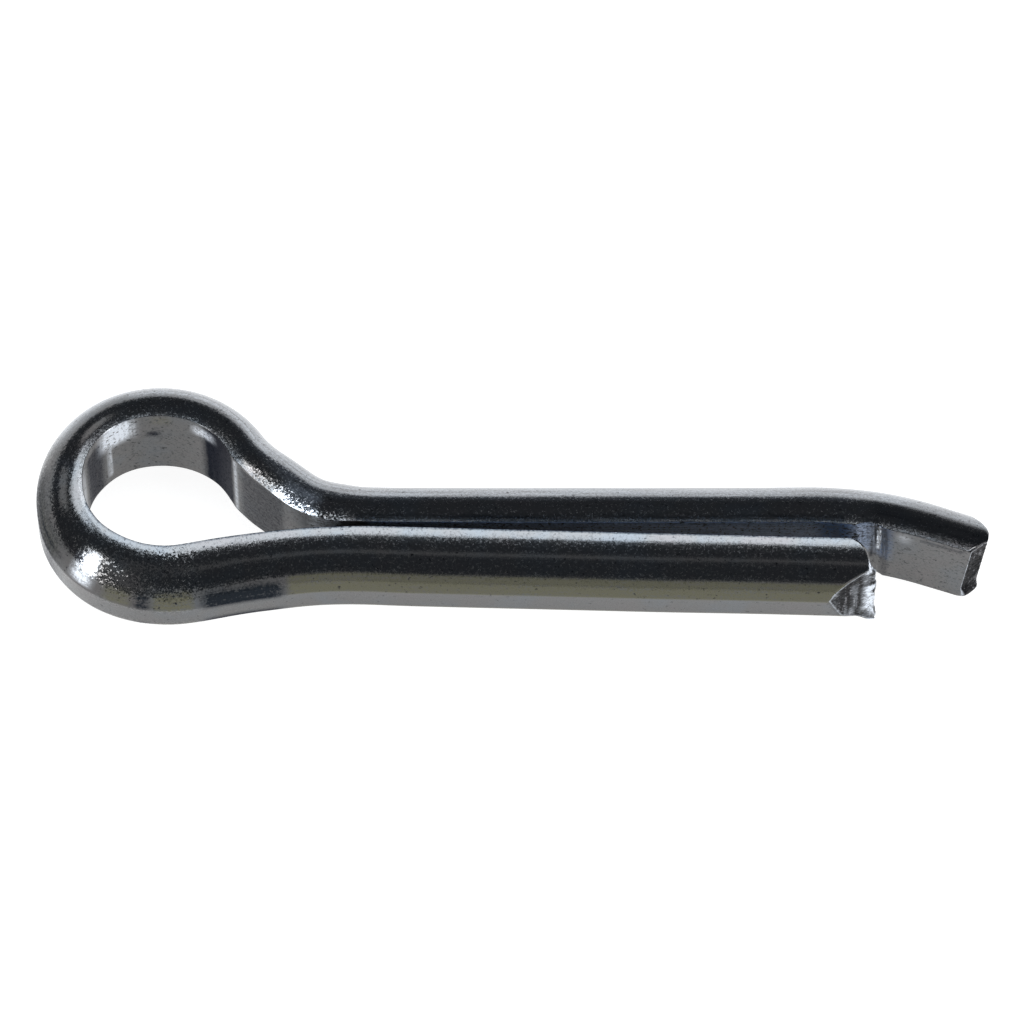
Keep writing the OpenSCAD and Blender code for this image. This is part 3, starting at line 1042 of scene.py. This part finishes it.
@dataclass(frozen=True)
class BrightZincPlate:
    """Bright electroplated zinc over drawn steel wire.

    A very fine grain dulls the plate in specks, stretching has roughened it like orange peel, its
    passivation shows faint blue and rose, and drawing left marks along the wire. Olive and blue
    reflections, shade and highlights are painted on it in patches.
    """

    blue: str = "#56595C"
    neutral: str = "#575757"
    rose: str = "#595757"
    tint_mm: float = 10.0 / 3.0
    tint_range: Fade = (0.34, 0.66)
    # Painted light: an olive and a blue reflection, painted shade, the dimmer edge reflection under painted
    # shade, and a painted highlight.
    olive: str = "#5A594C"
    blue_reflection_colour: str = "#4A70A0"
    stained: str = "#202429"
    stained_edge: str = "#B4B4B8"
    shined: str = "#E2E8F0"
    fray_noise: Fade = (0.75, 1.25)
    fray: Fade = (0.3, 1.7)
    torn: str = "#1A1A1C"
    fleck: str = "#7C7C80"
    fleck_mm: float = 0.16
    score_stretch: float = 0.1
    torn_edge: Fade = (1.1, 1.3)
    pitted: str = "#26272A"
    pit_mm: float = 0.30
    pit_edge: Fade = (0.63, 0.70)
    pit_more: float = 0.05
    roughness: float = 0.14
    speck_edge: Fade = (0.5, 0.75)
    speck_more: float = 0.24
    dull_more: float = 0.22
    cut_more: float = 0.26
    grain_mm: float = 0.06
    grain_tilt: float = 0.03
    peel_mm: float = 0.16
    peel_tilt: float = 0.9
    mark_mm: float = 0.32
    mark_stretch: float = 0.05
    mark_depth_mm: float = 0.003

    def material(self) -> Material:
        """Builds the material."""
        material, tree = new_material("bright_zinc_plate")
        place = add(tree, "TexCoord").outputs["Object"]
        uv = add(tree, "UVMap", {"uv_map": "wire"}).outputs["UV"]
        along = add(tree, "Mapping", in0=uv, Scale=(self.mark_stretch, 1.0, 1.0)).outputs[0]
        marks = speckled(tree, along, self.mark_mm, 4.0, 0.7).outputs["Fac"]
        specks = speckled(tree, place, self.peel_mm * MM, 2.0, 0.7)
        # Painted shade also dims the reflection at grazing angles.
        edge = mix(tree, self._amount(tree, Tone.STAIN), (1.0, 1.0, 1.0, 1.0), linear(self.stained_edge))
        shader = add(tree, "BsdfPrincipled", Metallic=1.0, Specular_Tint=edge,
                     Base_Color=self._colour(tree, place, marks, specks),
                     Roughness=self._roughness(tree, specks),
                     Normal=self._relief(tree, place, marks, specks))
        add(tree, "OutputMaterial", Surface=shader.outputs[0])
        return material

    def _amount(self, tree: Tree, tone: Tone) -> Socket:
        """Reads how much of a tone the wire has."""
        return add(tree, "Attribute", {"attribute_name": tone.value}).outputs["Fac"]

    def _tints(self, tree: Tree, place: Socket) -> Socket:
        """The plate's faint passivation tints, drifting from blue to rose."""
        colour = add(tree, "ValToRGB", Fac=speckled(tree, place, self.tint_mm * MM, 4.0, 0.6).outputs["Fac"])
        ramp = colour.color_ramp
        ramp.elements[0].position, ramp.elements[0].color = self.tint_range[0], linear(self.blue)
        ramp.elements[1].position, ramp.elements[1].color = self.tint_range[1], linear(self.rose)
        ramp.elements.new(0.5).color = linear(self.neutral)
        return colour.outputs["Color"]

    def _torn_metal(self, tree: Tree, place: Socket) -> Socket:
        """The dark torn metal, with pale flecks drawn out into scores."""
        flecks = speckled(tree, place, self.fleck_mm * MM, 1.0).outputs["Fac"]
        stretch = (1.0, self.score_stretch, self.score_stretch)
        drawn = add(tree, "Mapping", in0=place, Scale=stretch).outputs[0]
        scores = speckled(tree, drawn, self.fleck_mm * MM, 2.0).outputs["Fac"]
        share = ranged(tree, maths(tree, "ADD", flecks, scores), self.torn_edge)
        return mix(tree, share, linear(self.torn), linear(self.fleck))

    def _colour(self, tree: Tree, place: Socket, marks: Socket, specks: Node) -> Socket:
        """The base colour: the tints, the tones (painted olive and blue reflections, painted shade and
        painted highlights among them) and the pits laid over one another.
        """
        fray = ranged(tree, maths(tree, "ADD", marks, specks.outputs["Fac"]), self.fray_noise, self.fray)
        result = self._tints(tree, place)
        # Olive and blue reflections, shade and highlights are painted into the colour here.
        for tone, shade in ((Tone.OLIVE_REFLECTION, linear(self.olive)), (Tone.BLUE, linear(self.blue_reflection_colour)),
                            (Tone.STAIN, linear(self.stained)), (Tone.CUT, self._torn_metal(tree, place)),
                            (Tone.SHINE, linear(self.shined))):
            share = maths(tree, "MULTIPLY", self._amount(tree, tone), fray, clamp=True)
            result = mix(tree, share, result, shade)
        pits = speckled(tree, place, self.pit_mm * MM, 3.0, 0.65).outputs["Fac"]
        pits = maths(tree, "MULTIPLY_ADD", self._amount(tree, Tone.DULL), self.pit_more, pits)
        return mix(tree, ranged(tree, pits, self.pit_edge), result, linear(self.pitted))

    def _roughness(self, tree: Tree, specks: Node) -> Socket:
        """The roughness: more in the specks, where the plate is dull and where the metal is torn."""
        result = ranged(tree, specks.outputs["Fac"], self.speck_edge,
                        (self.roughness, self.roughness + self.speck_more))
        for tone, more in ((Tone.DULL, self.dull_more), (Tone.CUT, self.cut_more)):
            result = maths(tree, "MULTIPLY_ADD", self._amount(tree, tone), more, result)
        return result

    def _relief(self, tree: Tree, place: Socket, marks: Socket, specks: Node) -> Socket:
        """The normal: each grain tilts its own way, stretched metal in larger lumps."""
        normal = add(tree, "NewGeometry").outputs["Normal"]
        grain = add(tree, "TexVoronoi", Vector=place, Scale=1.0 / (self.grain_mm * MM)).outputs["Color"]
        peel = maths(tree, "MULTIPLY", self._amount(tree, Tone.PEEL), self.peel_tilt)
        for colour, tilt in ((grain, (self.grain_tilt,) * 3), (specks.outputs["Color"], peel)):
            centred = maths(tree, "SUBTRACT", colour, (0.5, 0.5, 0.5), kind="VectorMath")
            normal = maths(tree, "MULTIPLY_ADD", centred, tilt, normal, kind="VectorMath")
        unit = maths(tree, "NORMALIZE", normal, kind="VectorMath")
        drawn = add(tree, "Bump", Strength=1.0, Distance=self.mark_depth_mm * MM, Height=marks, Normal=unit)
        return drawn.outputs[0]


@dataclass(frozen=True)
class PaleFloor:
    """A pale light table: most of its light comes through it, so shadows on it stay faint."""

    sheet: str = "#909090"
    light: str = "#F4F4F4"
    glow: float = 1.02
    roughness: float = 0.9

    def material(self) -> Material:
        """Builds the material."""
        material, tree = new_material("pale_floor")
        shader = add(tree, "BsdfPrincipled", Base_Color=linear(self.sheet), Roughness=self.roughness,
                     Emission_Color=linear(self.light), Emission_Strength=self.glow)
        add(tree, "OutputMaterial", Surface=shader.outputs[0])
        return material


# ---- Studio ----


@dataclass(frozen=True)
class SoftBox:
    """One soft light, placed by its direction from the pin: angles in degrees, lengths in metres."""

    name: str
    azimuth: float
    elevation: float
    width: float
    height: float
    radiance: float
    colour: str = "#FFFFFF"
    distance: float = 0.5

    def place(self, aim: Vector) -> None:
        """Adds the light, facing the aim."""
        turn, lift = math.radians(self.azimuth), math.radians(self.elevation)
        way = Vector((math.sin(turn) * math.cos(lift), -math.cos(turn) * math.cos(lift), math.sin(lift)))
        light = bpy.data.lights.new(self.name, "AREA")
        light.shape, light.size, light.size_y = "RECTANGLE", self.width, self.height
        light.energy = self.radiance * self.width * self.height * math.pi
        light.color = linear(self.colour)[:3]
        lamp = bpy.data.objects.new(self.name, light)
        lamp.location = aim + way * self.distance
        lamp.rotation_euler = way.to_track_quat("Z", "Y").to_euler()
        bpy.context.scene.collection.objects.link(lamp)


@dataclass
class Studio:
    """The floor, the lights and the camera."""

    aim: Vector = field(default_factory=lambda: Vector((11.049, 2.347, 0.0)) * MM)
    elevation: float = 66.18
    distance: float = 0.6116
    frame_width: float = 0.06502
    sensor: float = 36.0
    floor_size: float = 3.0
    room: str = "#BEC8D6"
    room_strength: float = 0.22

    def floor(self) -> None:
        """Lays the floor under the pin's lowest point."""
        bpy.ops.object.select_all(action="DESELECT")
        bpy.ops.mesh.primitive_plane_add(size=self.floor_size, location=(0.0, 0.0, CAD_BOX[0][2]))
        floor = bpy.context.object
        floor.name = "floor"
        bpy.ops.object.transform_apply(location=True, rotation=True, scale=True)
        floor.data.materials.append(PaleFloor().material())

    def lights(self) -> None:
        """Hangs the softboxes and sets a dim room."""
        rows = (
            ("overhead", 180.0, 75.0, 0.28, 0.17, 6.8, "#EFF7FF"),
            ("overhead_left", -130.0, 58.0, 0.21, 0.15, 6.0, "#EFF7FF"),
            ("neck_light", 150.0, 61.0, 0.08, 0.09, 9.0),
            ("left_strip", -50.5, 22.0, 0.085, 0.44, 9.0),
            ("right_strip", 52.0, 25.0, 0.12, 0.40, 6.0),
            ("left_card", -150.0, 32.0, 0.10, 0.14, 1.3),
            ("right_fill", 100.0, 42.0, 0.5, 0.4, 2.4, "#FFFFFF", 0.6),
            ("left_haze", -26.0, 30.0, 0.12, 0.34, 0.45),
            ("side_haze", -112.0, 28.0, 0.16, 0.16, 1.0),
            ("front_card", 0.0, 62.0, 0.30, 0.05, 0.38),
            ("low_card", 4.0, 9.5, 0.24, 0.15, 0.85),
        )
        for row in rows:
            SoftBox(*row).place(self.aim)
        world = bpy.data.worlds.new("room")
        world.use_nodes = True
        background = world.node_tree.nodes["Background"]
        background.inputs["Color"].default_value = linear(self.room)
        background.inputs["Strength"].default_value = self.room_strength
        bpy.context.scene.world = world

    def camera(self) -> None:
        """Stands the camera at its angle over the pin."""
        lift = math.radians(self.elevation)
        data = bpy.data.cameras.new("camera")
        data.sensor_width = self.sensor
        data.lens = self.sensor * self.distance / self.frame_width
        camera = bpy.data.objects.new("camera", data)
        camera.location = self.aim + Vector((0.0, -math.cos(lift), math.sin(lift))) * self.distance
        camera.rotation_euler = (math.pi / 2.0 - lift, 0.0, 0.0)
        bpy.context.scene.collection.objects.link(camera)
        bpy.context.scene.camera = camera

    def build(self) -> None:
        """Sets up the whole studio."""
        self.floor()
        self.lights()
        self.camera()
        bpy.context.scene.view_settings.view_transform = "Standard"


def main() -> None:
    """Builds the pin, dresses it and sets the studio round it."""
    logging.basicConfig(level=logging.INFO, format="%(name)s: %(message)s")
    wire = CotterPin().build()
    wire.data.materials.clear()
    wire.data.materials.append(BrightZincPlate().material())
    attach(wire, "root")
    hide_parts("cotter_pin")
    Studio().build()
    LOG.info("material slots: %s", [slot.name for slot in wire.material_slots])


if __name__ == "__main__":
    main()
